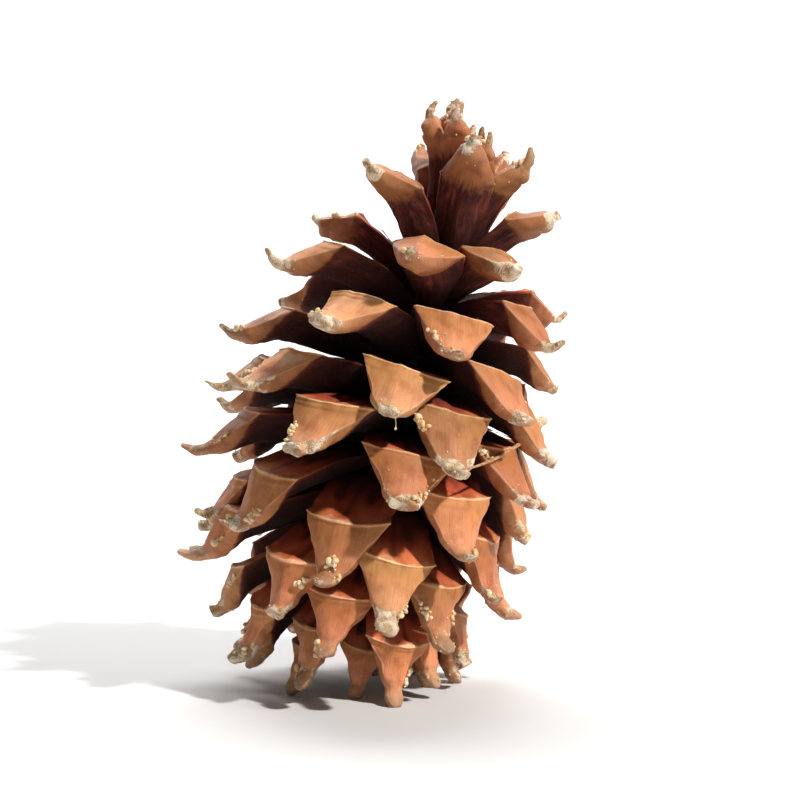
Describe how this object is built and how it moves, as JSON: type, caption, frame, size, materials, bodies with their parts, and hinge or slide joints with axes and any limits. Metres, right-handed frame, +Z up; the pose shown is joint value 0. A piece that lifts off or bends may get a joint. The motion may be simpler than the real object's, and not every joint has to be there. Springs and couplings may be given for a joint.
{
  "type": "pine cone",
  "caption": "Opened woody pine cone with thick wedge scales in spirals, each ending in a hooked claw; it stands on its lowest claws.",
  "frame": {"origin": "middle of the bounding box, at the height of the flats under the lowest claws", "axes": "+Z up, roughly along the core from the base of the cone to its tip; -Y faces the camera of the picture and +X is its right"},
  "size_m": [0.1408, 0.1364, 0.2125],
  "materials": {
    "cone": "dry bare wood"
  },
  "bodies": {
    "root": {"cone": "cone"}
  },
  "joints": []
}
